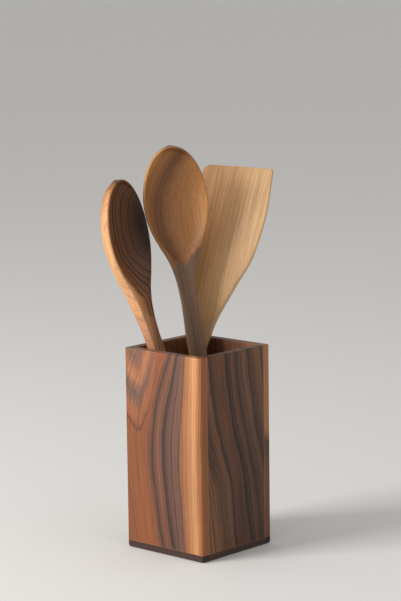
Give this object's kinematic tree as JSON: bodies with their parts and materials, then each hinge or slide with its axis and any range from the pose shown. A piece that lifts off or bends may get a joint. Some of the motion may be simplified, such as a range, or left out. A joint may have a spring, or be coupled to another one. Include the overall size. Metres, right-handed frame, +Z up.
{
  "type": "utensil caddy",
  "caption": "Square wooden utensil caddy on a dark plinth, holding wooden spoons and a turner that lift out.",
  "frame": {"origin": "middle of the caddy's flat underside", "axes": "+Z up, front board facing -Y, right board facing +X"},
  "size_m": [0.1146, 0.1483, 0.3543],
  "materials": {
    "walnut_board": "satin",
    "dark_plinth": "satin",
    "spoon_wood": "satin",
    "turner_wood": "satin"
  },
  "bodies": {
    "caddy": {"front_board": "walnut_board", "back_board": "walnut_board", "left_board": "walnut_board", "right_board": "walnut_board", "front_plinth_strip": "dark_plinth", "back_plinth_strip": "dark_plinth", "left_plinth_strip": "dark_plinth", "right_plinth_strip": "dark_plinth", "floor_panel": "walnut_board"},
    "left_spoon": {"left_spoon": "spoon_wood"},
    "tall_spoon": {"tall_spoon": "spoon_wood"},
    "turner": {"turner": "turner_wood"}
  },
  "joints": [
    {"name": "left_spoon_lift", "type": "slide", "parent": "caddy", "child": "left_spoon", "axis": [-0.3103, -0.1076, 0.9445], "range_m": [0, 0.19]},
    {"name": "tall_spoon_lift", "type": "slide", "parent": "caddy", "child": "tall_spoon", "axis": [-0.1884, -0.0051, 0.9821], "range_m": [0, 0.19]},
    {"name": "turner_lift", "type": "slide", "parent": "caddy", "child": "turner", "axis": [0.0377, 0.2973, 0.954], "range_m": [0, 0.19]}
  ]
}
